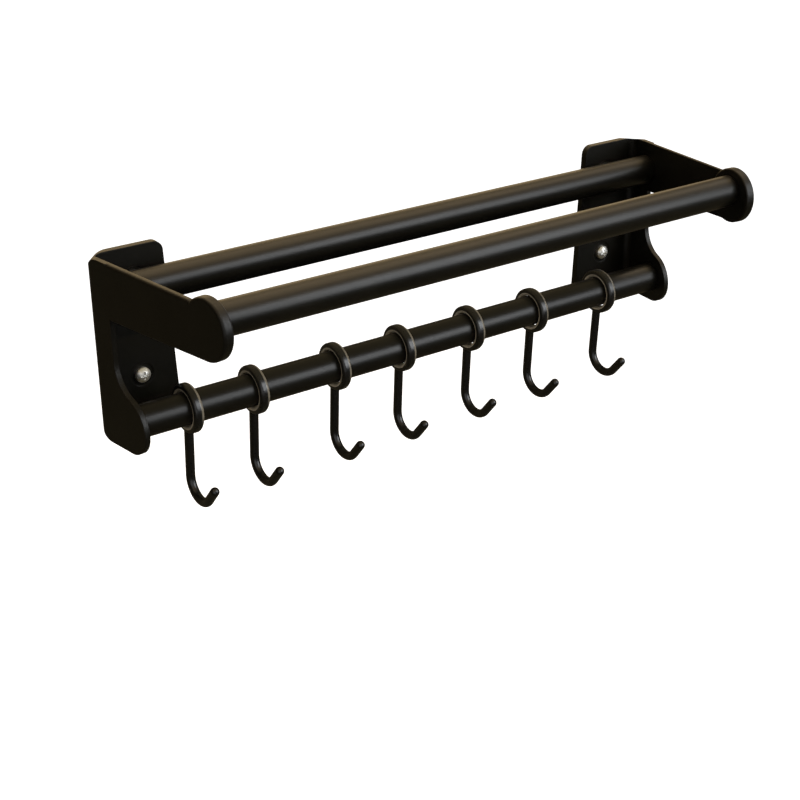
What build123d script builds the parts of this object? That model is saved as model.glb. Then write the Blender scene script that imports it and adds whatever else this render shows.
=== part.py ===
from build123d import *
import math
import os

# Wall drying rack: two folded brackets, three tubes, sliding J-hooks and four wall screws.
# X runs along the rack, the wall is the plane Y = 0 with the rack on its -Y side, and Z is up.
# The origin lies on the wall, in the middle of the four screws.

# Rack as a whole (millimetres and degrees)
RACK_WIDTH = 409.6  # between the corners of the two outer faces at the wall, before they are rounded
TOE_IN = 7.25  # each arm leans inwards from square by this angle

# Bracket walls and bend
WALL = 3.2  # side wall
PLATE_THICKNESS = 4.4
BEND_OUTER_R = 7.2
BEND_INNER_R = 4.5
BEND_SPAN = 14.0  # the bend's length along each wall, from the outer corner
BEND_END_ROUND = 7.0  # rounding of the bend's top and bottom ends, seen along the wall's diagonal
BRACKET_HEIGHT = 108.3

# Back plate, measured from the outer corner at the wall
PLATE_WIDTH_TOP = 46.6
PLATE_WIDTH_BOTTOM = 51.8
PLATE_CORNER_R = 6.0

# Wall screws
SCREW_INSET = 28.3  # from the outer corner at the wall
SCREW_SPACING = 58.0
SCREW_DROP = 19.0  # upper screw below the bracket's top edge
SCREW_SINK_D = 14.5  # shallow round recess in which the head sits
SCREW_SINK_DEPTH = 0.6
SCREW_D = 4.0
SCREW_NECK_D = 4.4  # plain neck inside the plate
SCREW_HOLE_CLEARANCE = 0.3
SCREW_HEAD_D = 9.2
SCREW_HEAD_HEIGHT = 4.2
SCREW_HEAD_RIM = 1.8  # straight side of the head below its dome
SCREW_GRIP = 16.0  # length of shank behind the wall plane
SCREW_POINT = 5.0
RECESS_WIDTH = 1.3
RECESS_SPAN = 5.0
RECESS_DEPTH = 1.8

# Tubes: distance of each axis from the wall and below the brackets' top edge
TUBE_D = 19.3
TUBE_WALL = 1.2
TUBE_END_ROUND = 0.6
REAR_TUBE_OUT = 19.7
REAR_TUBE_DROP = 18.4
FRONT_TUBE_SETBACK = 1.4  # behind the centre of the arm's round end
FRONT_TUBE_DROP = 9.6
LOWER_TUBE_OUT = 31.1
LOWER_TUBE_DROP = 91.7

# Spigots of the brackets inside the tubes
SPIGOT_LENGTH = 11.0
SPIGOT_CLEARANCE = 0.15
SPIGOT_ROOT = 1.6  # how deep a spigot starts inside the bracket's wall

# Arm and its round end
ARM_REACH = 125.5  # front of the round end from the wall
ARM_DEPTH_REAR = 32.8  # lower edge of the arm below the top edge, at the web
EYE_R = 17.1
EYE_DROP = 12.7  # centre of the round end below the top edge
EYE_THICKNESS = 6.3
EYE_EDGE_ROUND = 1.0  # inner edge of the round end
ARM_END_BACK = 12.5  # the arm's top edge ends this far behind the centre of the round end
ARM_END_ROUND = 4.0
EYE_OUTER_ROUND = 1.6  # outer edge of the round end and of the arm's underside

# Web and foot, measured along the arm from the outer corner
WEB_DEPTH = 23.1
FOOT_CURVE_DROP = 57.0  # where the web starts to swing out to the foot
FOOT_REACH = 48.7
FOOT_TIP_R = 14.3
FOOT_HOLLOW_R = 20.0

# Hooks
HOOK_PLACES = (-0.7959, -0.5859, -0.3086, -0.0757, 0.1875, 0.4434, 0.7314)  # shares of half the rack's width
RING_OUTER_R = 14.7
RING_BORE_R = 10.1
RING_WIDTH = 6.1
RING_EDGE_ROUND = 1.8
RING_SEAT_GAP = 0.3  # between the ring's bore and the top of the tube it hangs on
STEM_D = 5.5
STEM_LENGTH = 43.1  # ring's centre to the centre of the J
J_RADIUS = 11.8
J_SWEEP = 143.0  # angle the J turns through
J_TIP = 11.3  # straight end that flares to the front
HANG_ANGLE = 3.2  # the front-heavy hook hangs turned about the tube by this angle

# Places that follow from the sizes above
HALF = RACK_WIDTH / 2
TOP = SCREW_DROP + SCREW_SPACING / 2
BOTTOM = TOP - BRACKET_HEIGHT
TOE = math.radians(TOE_IN)
EYE_OUT = ARM_REACH - EYE_R * math.cos(TOE)
FRONT_TUBE_OUT = EYE_OUT - FRONT_TUBE_SETBACK
FOLD = math.pi / 2 - TOE
BEND_TANGENT = BEND_OUTER_R / math.tan(FOLD / 2)
CORNER = Vector(-HALF, 0, TOP)
ALONG_ARM = Vector(math.sin(TOE), -math.cos(TOE), 0)
ARM_OUTWARD = Vector(-math.cos(TOE), -math.sin(TOE), 0)
OUTER_FACE = Plane(origin=CORNER, x_dir=ALONG_ARM, z_dir=ARM_OUTWARD)
BEND_CENTRE = Vector(-HALF + BEND_TANGENT, -BEND_OUTER_R, 0)
TUBE_R = TUBE_D / 2
SPIGOT_R = TUBE_R - TUBE_WALL - SPIGOT_CLEARANCE

REAR_AXIS = (-REAR_TUBE_OUT, TOP - REAR_TUBE_DROP)
FRONT_AXIS = (-FRONT_TUBE_OUT, TOP - FRONT_TUBE_DROP)
LOWER_AXIS = (-LOWER_TUBE_OUT, TOP - LOWER_TUBE_DROP)


def rod_x(axis, radius, start, end):
    """A round bar along X about the given (Y, Z) axis, from start to end."""
    place = Plane(origin=(start, axis[0], axis[1]), z_dir=(1, 0, 0))
    return extrude(place * Circle(radius), end - start)


def arm_plane(side, depth):
    """Plane inside an arm's outer face by depth, facing the rack's middle. side is -1 left, 1 right."""
    origin = CORNER - ARM_OUTWARD * depth
    normal = ARM_OUTWARD * -1
    return Plane(origin=(-side * origin.X, origin.Y, 0), z_dir=(-side * normal.X, normal.Y, 0))


def arm_x(distance_out, depth):
    """X of that plane on the left arm, at a distance from the wall."""
    return -HALF + depth / math.cos(TOE) + distance_out * math.tan(TOE)


def arm():
    """The tapering arm on the toed-in plane, with its thick round end and a soft lower and front edge."""
    eye_centre = Vector(EYE_OUT / math.cos(TOE), -EYE_DROP)
    arm_lower = Vector(WEB_DEPTH, -ARM_DEPTH_REAR)
    reach = eye_centre - arm_lower
    slope = math.atan2(reach.Y, reach.X) - math.asin(EYE_R / reach.length)
    run = math.sqrt(reach.length**2 - EYE_R**2)
    arm_end = arm_lower + Vector(math.cos(slope), math.sin(slope)) * run
    arm_top = Vector(eye_centre.X - ARM_END_BACK, 0)
    outline = Polyline((WEB_DEPTH, 0), arm_top, eye_centre, arm_end, arm_lower, close=True)
    face = make_face(outline)
    face = fillet(face.vertices().sort_by_distance(arm_top)[0], ARM_END_ROUND)
    body = extrude(OUTER_FACE * face, -WALL)
    body += extrude(OUTER_FACE * Pos(eye_centre.X, eye_centre.Y) * Circle(EYE_R), -EYE_THICKNESS)
    rims = body.edges().filter_by(GeomType.CIRCLE)
    outer_rim = rims.filter_by(lambda edge: abs(OUTER_FACE.to_local_coords(edge.center()).Z) < WALL / 2)
    body = fillet(outer_rim, EYE_OUTER_ROUND)
    inner_rim = body.edges().filter_by(GeomType.CIRCLE).sort_by(Axis.X)[-1]
    return fillet(inner_rim, EYE_EDGE_ROUND)


def web():
    """The upright wall under the arm and the foot it swings out to."""
    tip_height = -BRACKET_HEIGHT + FOOT_TIP_R
    swing_out = FOOT_REACH - WEB_DEPTH
    swing_down = -FOOT_CURVE_DROP - tip_height
    turn = 2 * math.atan2(swing_out, swing_down)
    swell_r = swing_down / math.sin(turn) - FOOT_HOLLOW_R
    hollow_start = Vector(WEB_DEPTH, -FOOT_CURVE_DROP)
    hollow_centre = hollow_start + Vector(FOOT_HOLLOW_R, 0)
    swell_centre = Vector(FOOT_REACH - swell_r, tip_height)

    def on_circle(centre, radius, angle):
        return centre + Vector(math.cos(angle), math.sin(angle)) * radius

    hollow_end = on_circle(hollow_centre, FOOT_HOLLOW_R, math.pi + turn)
    foot_front = Vector(FOOT_REACH, tip_height)
    tip_centre = foot_front - Vector(FOOT_TIP_R, 0)
    foot_low = tip_centre - Vector(0, FOOT_TIP_R)
    edges = [
        Line((BEND_SPAN, 0), (WEB_DEPTH, 0)),
        Line((WEB_DEPTH, 0), hollow_start),
        ThreePointArc(hollow_start, on_circle(hollow_centre, FOOT_HOLLOW_R, math.pi + turn / 2), hollow_end),
        ThreePointArc(hollow_end, on_circle(swell_centre, swell_r, turn / 2), foot_front),
        ThreePointArc(foot_front, on_circle(tip_centre, FOOT_TIP_R, -math.pi / 4), foot_low),
        Line(foot_low, (BEND_SPAN, -BRACKET_HEIGHT)),
        Line((BEND_SPAN, -BRACKET_HEIGHT), (BEND_SPAN, 0)),
    ]
    return extrude(OUTER_FACE * make_face(edges), -WALL)


def back_plate():
    """The plate against the wall, wider at its foot, with its free corners rounded."""
    outline = Polyline(
        (BEND_SPAN, 0),
        (PLATE_WIDTH_TOP, 0),
        (PLATE_WIDTH_BOTTOM, -BRACKET_HEIGHT),
        (BEND_SPAN, -BRACKET_HEIGHT),
        close=True,
    )
    face = make_face(outline)
    face = fillet(face.vertices().sort_by(Axis.X)[-2:], PLATE_CORNER_R)
    wall_face = Plane(origin=CORNER, x_dir=(1, 0, 0), z_dir=(0, -1, 0))
    plate = extrude(wall_face * face, PLATE_THICKNESS)
    for drop in (SCREW_DROP, SCREW_DROP + SCREW_SPACING):
        place = wall_face * Pos(SCREW_INSET, -drop)
        plate -= extrude(place * Circle(SCREW_NECK_D / 2 + SCREW_HOLE_CLEARANCE), PLATE_THICKNESS)
        plate -= place * Pos(0, 0, PLATE_THICKNESS) * Cylinder(SCREW_SINK_D / 2, 2 * SCREW_SINK_DEPTH)
    return plate


def bend():
    """The rounded corner between the back plate and the side wall, drawn in plan."""
    outer = Vector(-HALF, 0)
    along_plate = Vector(1, 0)
    inner = Vector(arm_x(PLATE_THICKNESS, WALL), -PLATE_THICKNESS)
    arm_end = outer + ALONG_ARM * BEND_SPAN
    plan = Polyline(
        outer,
        outer + along_plate * BEND_SPAN,
        outer + along_plate * BEND_SPAN - Vector(0, PLATE_THICKNESS),
        inner,
        arm_end - ARM_OUTWARD * WALL,
        arm_end,
        close=True,
    )
    face = make_face(plan)
    face = fillet(face.vertices().sort_by_distance(inner)[0], BEND_INNER_R)
    face = fillet(face.vertices().sort_by_distance(outer)[0], BEND_OUTER_R)
    return Pos(0, 0, BOTTOM) * extrude(face, BRACKET_HEIGHT)


def bend_end_cut(height, upwards):
    """What is taken off one end of the bend so that its corner runs over in a round."""
    outward = (Vector(CORNER.X, CORNER.Y, 0) - BEND_CENTRE).normalized()
    centre = BEND_CENTRE + outward * (BEND_OUTER_R - BEND_END_ROUND)
    across = Plane(
        origin=(centre.X, centre.Y, height - upwards * BEND_END_ROUND),
        x_dir=(outward.X, outward.Y, 0),
        z_dir=(outward.Y, -outward.X, 0),
    )
    up = 1 if across.y_dir.Z * upwards > 0 else -1
    size = BEND_END_ROUND * 2
    corner = Pos(size / 2, up * size / 2) * Rectangle(size, size)
    corner -= Circle(BEND_END_ROUND)
    return extrude(across * corner, RACK_WIDTH / 4, both=True)


def spigots():
    """Stubs on the bracket's inner side that locate the tubes."""
    stubs = []
    for axis, depth in ((REAR_AXIS, WALL), (LOWER_AXIS, WALL), (FRONT_AXIS, EYE_THICKNESS)):
        face_x = arm_x(-axis[0], depth)
        stubs.append(rod_x(axis, SPIGOT_R, face_x - SPIGOT_ROOT, face_x + SPIGOT_LENGTH))
    return stubs


def left_bracket():
    """Back plate, bend and toed-in side wall in one piece, with the stubs for the tubes."""
    body = arm() + web() + bend() + back_plate()
    body -= bend_end_cut(TOP, 1)
    body -= bend_end_cut(BOTTOM, -1)
    for stub in spigots():
        body += stub
    return body


def tube(axis, half_length):
    """A plain round tube along X, longer than needed."""
    outer = rod_x(axis, TUBE_R, -half_length, half_length)
    return outer - rod_x(axis, TUBE_R - TUBE_WALL, -half_length, half_length)


def round_tube_ends(shape):
    """Softens the outer rim at both ends of a tube."""
    rims = []
    for face in shape.faces().filter_by(GeomType.PLANE):
        rims.append(face.edges().sort_by(SortBy.LENGTH)[-1])
    return fillet(rims, TUBE_END_ROUND)


def mitred_tube(axis, depth):
    """A tube whose ends are cut to lie on both arms, at a depth inside their outer faces."""
    shape = tube(axis, HALF)
    for side in (-1, 1):
        shape = split(shape, bisect_by=arm_plane(side, depth), keep=Keep.TOP)
    return round_tube_ends(shape)


def hook(position):
    """One J-hook: a ring round the lower tube, a straight stem and an open J that faces the front."""
    half_width = RING_WIDTH / 2
    ring = rod_x((0, 0), RING_OUTER_R, -half_width, half_width)
    ring -= rod_x((0, 0), RING_BORE_R, -half_width, half_width)
    ring = fillet(ring.edges().filter_by(GeomType.CIRCLE), RING_EDGE_ROUND)

    def on_j(angle):
        turn = math.radians(angle)
        return Vector(0, -J_RADIUS * (1 - math.cos(turn)), -STEM_LENGTH - J_RADIUS * math.sin(turn))

    last_turn = math.radians(J_SWEEP)
    stem_top = Vector(0, 0, -(RING_BORE_R + RING_OUTER_R) / 2)
    stem_low = on_j(0)
    j_end = on_j(J_SWEEP)
    tip = j_end + Vector(0, -math.sin(last_turn), -math.cos(last_turn)) * J_TIP
    bow = ThreePointArc(stem_low, on_j(J_SWEEP / 2), j_end)
    route = Wire([Line(stem_top, stem_low), bow, Line(j_end, tip)])
    start = Plane(origin=stem_top, z_dir=(0, 0, -1))
    rod = sweep(start * Circle(STEM_D / 2), path=route)
    rod += Pos(tip.X, tip.Y, tip.Z) * Sphere(STEM_D / 2)
    ring_z = LOWER_AXIS[1] + TUBE_R + RING_SEAT_GAP - RING_BORE_R
    return Pos(position, LOWER_AXIS[0], ring_z) * Rot(HANG_ANGLE, 0, 0) * (ring + rod)


def screw(x, z):
    """A pan-head wall screw with a cross recess; its head bears on the floor of the plate's round recess."""
    seat = PLATE_THICKNESS - SCREW_SINK_DEPTH
    head_r = SCREW_HEAD_D / 2
    shank_r = SCREW_D / 2
    neck_r = SCREW_NECK_D / 2
    rim = seat + SCREW_HEAD_RIM
    crown = seat + SCREW_HEAD_HEIGHT
    dome_height = SCREW_HEAD_HEIGHT - SCREW_HEAD_RIM
    dome_r = (head_r**2 + dome_height**2) / (2 * dome_height)
    half_turn = math.asin(head_r / dome_r) / 2
    on_dome = (dome_r * math.sin(half_turn), crown - dome_r * (1 - math.cos(half_turn)))
    profile = [
        Line((0, -SCREW_GRIP), (shank_r, -SCREW_GRIP + SCREW_POINT)),
        Line((shank_r, -SCREW_GRIP + SCREW_POINT), (shank_r, 0)),
        Line((shank_r, 0), (neck_r, 0)),
        Line((neck_r, 0), (neck_r, seat)),
        Line((neck_r, seat), (head_r, seat)),
        Line((head_r, seat), (head_r, rim)),
        ThreePointArc((head_r, rim), on_dome, (0, crown)),
        Line((0, crown), (0, -SCREW_GRIP)),
    ]
    body = revolve(make_face(profile), Axis.Y, 360)
    for span, width in ((RECESS_SPAN, RECESS_WIDTH), (RECESS_WIDTH, RECESS_SPAN)):
        body -= Pos(0, crown, 0) * Box(span, 2 * RECESS_DEPTH, width)
    return Pos(x, 0, z) * Rot(180, 0, 0) * body


def write(name, shape):
    export_step(shape, f"parts/{name}.step")


def main():
    os.makedirs("parts", exist_ok=True)
    bracket = left_bracket()
    write("left_bracket", bracket)
    write("right_bracket", mirror(bracket, about=Plane.YZ))
    write("rear_tube", mitred_tube(REAR_AXIS, WALL))
    write("lower_tube", mitred_tube(LOWER_AXIS, WALL))
    write("front_tube", mitred_tube(FRONT_AXIS, EYE_THICKNESS))
    for number, place in enumerate(HOOK_PLACES, start=1):
        write(f"hook_{number}", hook(place * HALF))
    for side, x in (("left", -HALF + SCREW_INSET), ("right", HALF - SCREW_INSET)):
        for level, z in (("upper", SCREW_SPACING / 2), ("lower", -SCREW_SPACING / 2)):
            write(f"{level}_{side}_screw", screw(x, z))


main()
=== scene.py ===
import math

import bpy
from mathutils import Matrix, Vector


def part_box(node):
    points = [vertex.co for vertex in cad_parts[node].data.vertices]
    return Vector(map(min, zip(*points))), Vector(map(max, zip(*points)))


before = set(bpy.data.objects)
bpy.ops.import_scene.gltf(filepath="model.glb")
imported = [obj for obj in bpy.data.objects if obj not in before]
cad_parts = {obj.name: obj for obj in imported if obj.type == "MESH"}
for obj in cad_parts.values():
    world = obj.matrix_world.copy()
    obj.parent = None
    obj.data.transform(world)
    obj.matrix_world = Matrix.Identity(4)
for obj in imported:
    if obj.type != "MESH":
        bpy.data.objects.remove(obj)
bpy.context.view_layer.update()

# Camera, as found from the straight edges of the photograph; lens and sensor in millimetres
CAMERA_PLACE = Vector((-0.52375, -0.73581, 0.32078))
CAMERA_YAW = math.radians(35.834)
CAMERA_PITCH = math.radians(24.743)
CAMERA_ROLL = math.radians(-0.3015)
CAMERA_LENS = 68.78
CAMERA_SENSOR = 36.0
CLIP_START = 0.05
CLIP_END = 50.0
IMAGE_WIDTH = 800
HALF_PIXEL = 0.5 / IMAGE_WIDTH  # the fit counts from the middle of a pixel

# Surroundings
RACK_MIDDLE = (0, -0.06, 0)  # the point that lamps and most cards face
FLOOR_HEIGHT = -0.75
FLOOR_SIZE = 12.0
FLOOR_TONE = (0.8, 0.8, 0.8)
WORLD_TONE = (0.25, 0.25, 0.25)
WHITE = (1.0, 1.0, 1.0)
CARD_MOTTLING = (0.8, 1.2)  # shares of a card's tone

# Rings of the hooks, and where painted highlights go on their coat
RING_BORE_R = 0.0101
RING_OUTER_R = 0.0147
LIP_WIDTH = 0.0022
EDGE_START = 0.0009  # the painted highlight on the right-hand edge starts this far from the ring's middle
EDGE_DEPTH = 0.0009
EDGE_SHARE = 0.4  # how strongly that edge's painted highlight shows
EDGE_FADE = 0.006  # it ends over this height below the ring's axis
FADE = 0.0004
# light tan painted onto a ring's bore lip and upper right-hand edge as highlights
PAINTED_HIGHLIGHT_TAN = (0.52, 0.45, 0.33)

# Noises, each with its scale and its detail
COAT_MOTTLE = (35.0, 4.0)
COAT_GRAIN = (900.0, 3.0)
STEEL_MOTTLE = (400.0, 3.0)
STEEL_GRAIN = (2500.0, 2.0)
CARD_MOTTLE = (4.0, 3.0)
NOISE_ROUGHNESS = 0.6
NOISE_RANGE = (0.3, 0.7)  # most of a noise lies in this range

# Finishes: the darkest and lightest tone, the lowest and highest roughness, and for the coats
# the specular level, the strength of the grain and the radius of the soft edges
BROWN_BLACK = ((0.0030, 0.0025, 0.0013), (0.0062, 0.0052, 0.0028))
NEUTRAL_BLACK = ((0.0026, 0.0026, 0.0026), (0.0050, 0.0050, 0.0050))
BRACKET_COAT = dict(tones=BROWN_BLACK, roughness=(0.36, 0.46), specular=0.28, grain=0.10, edge=0.0008)
TUBE_COAT = dict(tones=BROWN_BLACK, roughness=(0.32, 0.40), specular=0.34, grain=0.08, edge=0.0004)
HOOK_COAT = dict(tones=NEUTRAL_BLACK, roughness=(0.26, 0.34), specular=0.55, grain=0.06, edge=0.0004)
STEEL_TONES = ((0.84, 0.83, 0.80), (0.94, 0.94, 0.92))
STEEL_ROUGHNESS = (0.40, 0.50)
GRAIN_HEIGHT = 0.0001
EDGE_SAMPLES = 4

# Sockets of a Mix node that mixes colours
MIX_SHARE = 0
MIX_FIRST = 6
MIX_SECOND = 7
MIX_RESULT = 2


def set_socket(node, name, value):
    node.inputs[name].default_value = value


def node_of_type(tree, node_type):
    """The node of a type that a new tree already holds."""
    return next(node for node in tree.nodes if node.type == node_type)


def shaded_material(name):
    """A material with a Principled shader; returns it, its node tree and that shader."""
    material = bpy.data.materials.new(name)
    material.use_nodes = True
    tree = material.node_tree
    return material, tree, node_of_type(tree, "BSDF_PRINCIPLED")


def bare_material(name):
    """A material with no shader yet; returns it, its node tree and the socket its shader goes to."""
    material = bpy.data.materials.new(name)
    material.use_nodes = True
    tree = material.node_tree
    tree.nodes.clear()
    out = tree.nodes.new("ShaderNodeOutputMaterial")
    return material, tree, out.inputs["Surface"]


def object_coordinates(tree):
    return tree.nodes.new("ShaderNodeTexCoord").outputs["Object"]


def noise(tree, coordinates, scale, detail):
    node = tree.nodes.new("ShaderNodeTexNoise")
    set_socket(node, "Scale", scale)
    set_socket(node, "Detail", detail)
    set_socket(node, "Roughness", NOISE_ROUGHNESS)
    tree.links.new(coordinates, node.inputs["Vector"])
    return node.outputs["Fac"]


def spread(tree, value, start, end, low=0.0, high=1.0):
    """low where a value is at start, high where it is at end, even between them and level outside."""
    node = tree.nodes.new("ShaderNodeMapRange")
    set_socket(node, "From Min", start)
    set_socket(node, "From Max", end)
    set_socket(node, "To Min", low)
    set_socket(node, "To Max", high)
    tree.links.new(value, node.inputs["Value"])
    return node.outputs["Result"]


def mixed(tree, share, first, second):
    """A first colour gone over to a second one by a share; the first may also be a socket."""
    node = tree.nodes.new("ShaderNodeMix")
    node.data_type = "RGBA"
    tree.links.new(share, node.inputs[MIX_SHARE])
    if isinstance(first, bpy.types.NodeSocket):
        tree.links.new(first, node.inputs[MIX_FIRST])
    else:
        node.inputs[MIX_FIRST].default_value = (*first, 1.0)
    node.inputs[MIX_SECOND].default_value = (*second, 1.0)
    return node.outputs[MIX_RESULT]


def reckon(tree, operation, first, *others):
    """The first value put together with each of the others in turn."""
    result = first
    for other in others:
        node = tree.nodes.new("ShaderNodeMath")
        node.operation = operation
        tree.links.new(result, node.inputs[0])
        tree.links.new(other, node.inputs[1])
        result = node.outputs[0]
    return result


def ring_middle(hook):
    """The middle of a hook's ring, which reaches to the top and the rear of the hook's box."""
    low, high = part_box(hook)
    return Vector(((low.x + high.x) / 2, high.y - RING_OUTER_R, high.z - RING_OUTER_R))


def painted_ring_highlights(tree, coordinates, middle):
    """Mask of painted highlights on a ring: full on its inner lip, partial on its upper right-hand edge."""
    from_axis = tree.nodes.new("ShaderNodeMapping")
    set_socket(from_axis, "Location", (0.0, -middle.y, -middle.z))
    set_socket(from_axis, "Scale", (0.0, 1.0, 1.0))
    tree.links.new(coordinates, from_axis.inputs["Vector"])
    length = tree.nodes.new("ShaderNodeVectorMath")
    length.operation = "LENGTH"
    tree.links.new(from_axis.outputs["Vector"], length.inputs[0])
    radius = length.outputs["Value"]
    apart = tree.nodes.new("ShaderNodeSeparateXYZ")
    tree.links.new(coordinates, apart.inputs[0])

    lip_end = RING_BORE_R + LIP_WIDTH
    edge_x = middle.x + EDGE_START
    edge_r = RING_OUTER_R - EDGE_DEPTH
    # the bore's lip and the upper right-hand outer edge get painted highlights
    lip = spread(tree, radius, lip_end, lip_end - FADE)
    to_right = spread(tree, apart.outputs["X"], edge_x, edge_x + FADE)
    outside = spread(tree, radius, edge_r, edge_r + FADE)
    on_ring = spread(tree, radius, RING_OUTER_R + FADE, RING_OUTER_R)
    upper = spread(tree, apart.outputs["Z"], middle.z - EDGE_FADE, middle.z, high=EDGE_SHARE)
    edge = reckon(tree, "MULTIPLY", to_right, outside, on_ring, upper)
    return reckon(tree, "MAXIMUM", lip, edge)


def satin_coat(name, tones, roughness, specular, grain, edge, ring=None):
    """Black coat: mottled tone, uneven sheen, fine grain and soft edges.

    ring is the middle of a ring whose coat gets painted highlights; other pieces have none.
    """
    material, tree, shader = shaded_material(name)
    coordinates = object_coordinates(tree)
    broad = noise(tree, coordinates, *COAT_MOTTLE)
    fine = noise(tree, coordinates, *COAT_GRAIN)
    tone = mixed(tree, spread(tree, broad, *NOISE_RANGE), *tones)
    # a ring gets light tan painted highlights on its lip and upper right-hand edge
    if ring is not None:
        tone = mixed(tree, painted_ring_highlights(tree, coordinates, ring), tone, PAINTED_HIGHLIGHT_TAN)
    tree.links.new(tone, shader.inputs["Base Color"])
    tree.links.new(spread(tree, fine, *NOISE_RANGE, *roughness), shader.inputs["Roughness"])
    set_socket(shader, "Specular IOR Level", specular)
    bevel = tree.nodes.new("ShaderNodeBevel")
    bevel.samples = EDGE_SAMPLES
    set_socket(bevel, "Radius", edge)
    bump = tree.nodes.new("ShaderNodeBump")
    set_socket(bump, "Strength", grain)
    set_socket(bump, "Distance", GRAIN_HEIGHT)
    tree.links.new(fine, bump.inputs["Height"])
    tree.links.new(bevel.outputs["Normal"], bump.inputs["Normal"])
    tree.links.new(bump.outputs["Normal"], shader.inputs["Normal"])
    return material


def plated_steel(name):
    """Bright zinc-plated steel with slightly uneven sheen."""
    material, tree, shader = shaded_material(name)
    coordinates = object_coordinates(tree)
    broad = noise(tree, coordinates, *STEEL_MOTTLE)
    fine = noise(tree, coordinates, *STEEL_GRAIN)
    tone = mixed(tree, spread(tree, broad, *NOISE_RANGE), *STEEL_TONES)
    tree.links.new(tone, shader.inputs["Base Color"])
    tree.links.new(spread(tree, fine, *NOISE_RANGE, *STEEL_ROUGHNESS), shader.inputs["Roughness"])
    set_socket(shader, "Metallic", 1.0)
    return material


def dress_rack():
    """Gives each piece its finish. A hook has a coat of its own, because the painted highlights on its ring
    go by its place.
    """
    bracket_coat = satin_coat("bracket_coat", **BRACKET_COAT)
    tube_coat = satin_coat("tube_coat", **TUBE_COAT)
    screw_plate = plated_steel("screw_plate")
    for node_name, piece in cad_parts.items():
        if node_name.endswith("bracket"):
            finish = bracket_coat
        elif node_name.endswith("tube"):
            finish = tube_coat
        elif node_name.startswith("hook"):
            finish = satin_coat(node_name + "_coat", **HOOK_COAT, ring=ring_middle(node_name))
        else:
            finish = screw_plate
        for material_slot in piece.material_slots:
            material_slot.material = finish


def seen_directly(tree):
    """1 for camera, glossy and transmission rays, else 0."""
    rays = tree.nodes.new("ShaderNodeLightPath").outputs
    return reckon(tree, "MAXIMUM", rays["Is Camera Ray"], rays["Is Glossy Ray"], rays["Is Transmission Ray"])


def pale_floor():
    """A pale floor far below the rack, white to the eye, which still takes shadows."""
    bpy.ops.mesh.primitive_plane_add(size=FLOOR_SIZE, location=(0, 0, FLOOR_HEIGHT))
    floor = bpy.context.object
    floor.name = "floor"
    material, tree, surface = bare_material("floor_white")
    diffuse = tree.nodes.new("ShaderNodeBsdfDiffuse")
    set_socket(diffuse, "Color", (*FLOOR_TONE, 1.0))
    glow = tree.nodes.new("ShaderNodeEmission")
    set_socket(glow, "Color", (*WHITE, 1.0))
    tree.links.new(seen_directly(tree), glow.inputs["Strength"])
    both = tree.nodes.new("ShaderNodeAddShader")
    tree.links.new(diffuse.outputs[0], both.inputs[0])
    tree.links.new(glow.outputs[0], both.inputs[1])
    tree.links.new(both.outputs[0], surface)
    floor.data.materials.append(material)


def white_world():
    """A world that is white to the eye and lights the rack weakly from all sides."""
    world = bpy.data.worlds.new("world")
    bpy.context.scene.world = world
    world.use_nodes = True
    tree = world.node_tree
    background = node_of_type(tree, "BACKGROUND")
    tone = mixed(tree, seen_directly(tree), WORLD_TONE, WHITE)
    tree.links.new(tone, background.inputs["Color"])
    set_socket(background, "Strength", 1.0)


def face(thing, place, aim, front):
    """Puts a thing in its place, with its front axis towards aim."""
    thing.location = place
    thing.rotation_mode = "QUATERNION"
    thing.rotation_quaternion = (Vector(aim) - Vector(place)).to_track_quat(front, "Y")


def softbox(name, place, size, watts, colour):
    """A soft rectangular lamp that faces the rack and that the camera doesn't see."""
    data = bpy.data.lights.new(name, "AREA")
    data.shape = "RECTANGLE"
    data.size, data.size_y = size
    data.energy = watts
    data.color = colour
    lamp = bpy.data.objects.new(name, data)
    bpy.context.scene.collection.objects.link(lamp)
    face(lamp, place, RACK_MIDDLE, "-Z")
    lamp.visible_camera = False


def room_card(name, place, size, tone, aim=RACK_MIDDLE):
    """A card that shows only in reflections, mottled on the side facing aim and black behind."""
    bpy.ops.mesh.primitive_plane_add(size=1.0)
    card = bpy.context.object
    card.name = name
    card.scale = (*size, 1.0)
    face(card, place, aim, "Z")
    card.visible_camera = False
    card.visible_diffuse = False
    card.visible_shadow = False
    card.visible_transmission = False
    material, tree, surface = bare_material(name)
    glow = tree.nodes.new("ShaderNodeEmission")
    mottle = noise(tree, object_coordinates(tree), *CARD_MOTTLE)
    darker, lighter = [[share * part for part in tone] for share in CARD_MOTTLING]
    tree.links.new(mixed(tree, mottle, darker, lighter), glow.inputs["Color"])
    geometry = tree.nodes.new("ShaderNodeNewGeometry")
    tree.links.new(spread(tree, geometry.outputs["Backfacing"], 1.0, 0.0), glow.inputs["Strength"])
    tree.links.new(glow.outputs[0], surface)
    card.data.materials.append(material)


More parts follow.
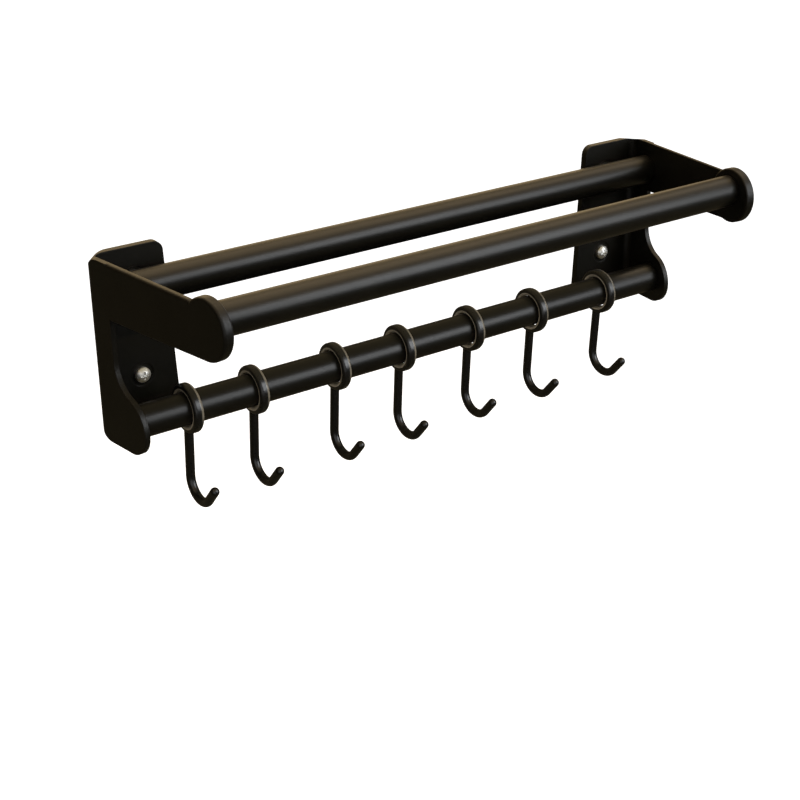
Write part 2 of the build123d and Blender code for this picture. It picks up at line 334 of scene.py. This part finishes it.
def photo_camera():
    data = bpy.data.cameras.new("camera")
    data.sensor_width = CAMERA_SENSOR
    data.lens = CAMERA_LENS
    data.shift_x = -HALF_PIXEL
    data.shift_y = HALF_PIXEL
    data.clip_start = CLIP_START
    data.clip_end = CLIP_END
    camera = bpy.data.objects.new("camera", data)
    bpy.context.scene.collection.objects.link(camera)
    forward = Vector((
        math.sin(CAMERA_YAW) * math.cos(CAMERA_PITCH),
        math.cos(CAMERA_YAW) * math.cos(CAMERA_PITCH),
        -math.sin(CAMERA_PITCH),
    ))
    right = Vector((math.cos(CAMERA_YAW), -math.sin(CAMERA_YAW), 0))
    up = right.cross(forward)
    turned_right = right * math.cos(CAMERA_ROLL) + up * math.sin(CAMERA_ROLL)
    turned_up = up * math.cos(CAMERA_ROLL) - right * math.sin(CAMERA_ROLL)
    turn = Matrix((turned_right, turned_up, -forward)).transposed()
    camera.matrix_world = Matrix.Translation(CAMERA_PLACE) @ turn.to_4x4()
    bpy.context.scene.camera = camera


dress_rack()
pale_floor()
white_world()

# Lamps
softbox("warm_behind", place=(0.5, 1.3, 0.5), size=(1.8, 0.8), watts=6.0, colour=(1.0, 0.74, 0.40))
softbox("cool_front_right", place=(1.0, -1.5, 0.72), size=(1.0, 1.2), watts=22.0, colour=(0.94, 0.97, 1.0))
softbox("warm_overhead", place=(0.6, 0.5, 1.8), size=(2.4, 1.4), watts=16.0, colour=(1.0, 0.76, 0.46))

# A warm room round the rack, for its reflections; two small cards stand close behind and above the
# lower tube, which is darker than the upper ones
room_card("card_below", place=(0, -0.06, -0.6), size=(8.0, 8.0), tone=(0.090, 0.074, 0.042))
room_card("card_above", place=(0, 0, 2.4), size=(6.0, 6.0), tone=(0.90, 0.69, 0.43))
room_card("card_left", place=(-2.2, 0.8, 0), size=(6.0, 5.0), tone=(0.080, 0.060, 0.028))
room_card("card_behind", place=(0.6, 2.2, 0.4), size=(5.0, 4.0), tone=(0.30, 0.22, 0.12))
room_card("card_low_behind", place=(0, 0.03, -0.145), size=(0.9, 0.30), tone=(0.10, 0.08, 0.045),
          aim=(0, -0.06, -0.145))
room_card("card_over_hooks", place=(0, -0.02, -0.004), size=(0.38, 0.09), tone=(0.30, 0.245, 0.14),
          aim=(0, -0.02, -1))
room_card("card_front_right", place=(1.6, -2.2, 0.2), size=(5.0, 3.2), tone=(0.03, 0.026, 0.022))

photo_camera()
bpy.context.scene.view_settings.view_transform = "Standard"
